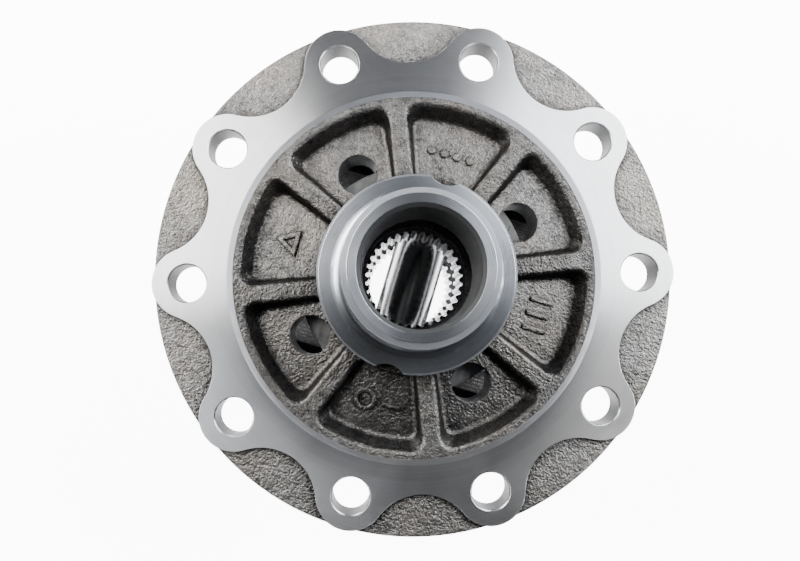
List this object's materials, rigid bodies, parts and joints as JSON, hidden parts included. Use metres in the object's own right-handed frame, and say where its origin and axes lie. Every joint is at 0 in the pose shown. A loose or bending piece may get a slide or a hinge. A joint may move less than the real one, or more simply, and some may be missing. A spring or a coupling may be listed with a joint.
{
  "type": "limited-slip differential",
  "caption": "Rear-axle differential case with a bolted ring-gear flange, bevel gears on a cross shaft and clutch packs behind the splined side gears.",
  "frame": {"origin": "centre of the ring-gear bolt circle, on the machined star face of the flange", "axes": "+Z along the axle axis, out of the flange-side bearing journal; Y along the cross shaft; X through the two side windows"},
  "size_m": [0.1954, 0.1954, 0.1873],
  "materials": {
    "cast_case": "machined and as-cast",
    "ground_steel": "ground",
    "gear_steel": "forged and machined",
    "plate_steel": "rolled",
    "friction_plate": "grooved friction steel",
    "black_bolt": "black oxide"
  },
  "bodies": {
    "case": {"differential_case": "cast_case", "cross_shaft": "ground_steel", "cross_shaft_lock_bolt": "black_bolt", "front_pinion_thrust_washer": "plate_steel", "rear_pinion_thrust_washer": "plate_steel", "upper_steel_plate_1": "plate_steel", "upper_steel_plate_2": "plate_steel", "upper_steel_plate_3": "plate_steel", "upper_preload_shim": "plate_steel", "lower_steel_plate_1": "plate_steel", "lower_steel_plate_2": "plate_steel", "lower_steel_plate_3": "plate_steel", "lower_preload_shim": "plate_steel"},
    "upper_axle_drive": {"upper_side_gear": "gear_steel", "upper_friction_plate_1": "friction_plate", "upper_friction_plate_2": "friction_plate", "upper_friction_plate_3": "friction_plate"},
    "lower_axle_drive": {"lower_side_gear": "gear_steel", "lower_friction_plate_1": "friction_plate", "lower_friction_plate_2": "friction_plate", "lower_friction_plate_3": "friction_plate"},
    "front_pinion": {"front_pinion_gear": "gear_steel"},
    "rear_pinion": {"rear_pinion_gear": "gear_steel"}
  },
  "joints": [
    {"name": "upper_side_gear_spin", "type": "hinge", "parent": "case", "child": "upper_axle_drive", "pos_m": [0, 0, -0.055], "axis": [0, 0, 1], "continuous": true},
    {"name": "lower_side_gear_spin", "type": "hinge", "parent": "case", "child": "lower_axle_drive", "pos_m": [0, 0, -0.055], "axis": [0, 0, 1], "continuous": true},
    {"name": "front_pinion_spin", "type": "hinge", "parent": "case", "child": "front_pinion", "pos_m": [0, -0.035, -0.055], "axis": [0, 1, 0], "continuous": true},
    {"name": "rear_pinion_spin", "type": "hinge", "parent": "case", "child": "rear_pinion", "pos_m": [0, 0.035, -0.055], "axis": [0, 1, 0], "continuous": true}
  ],
  "couplings": [
    {"joint": "lower_side_gear_spin", "follows": "upper_side_gear_spin", "ratio": -1},
    {"joint": "front_pinion_spin", "follows": "upper_side_gear_spin", "ratio": 1.6},
    {"joint": "rear_pinion_spin", "follows": "upper_side_gear_spin", "ratio": -1.6}
  ]
}
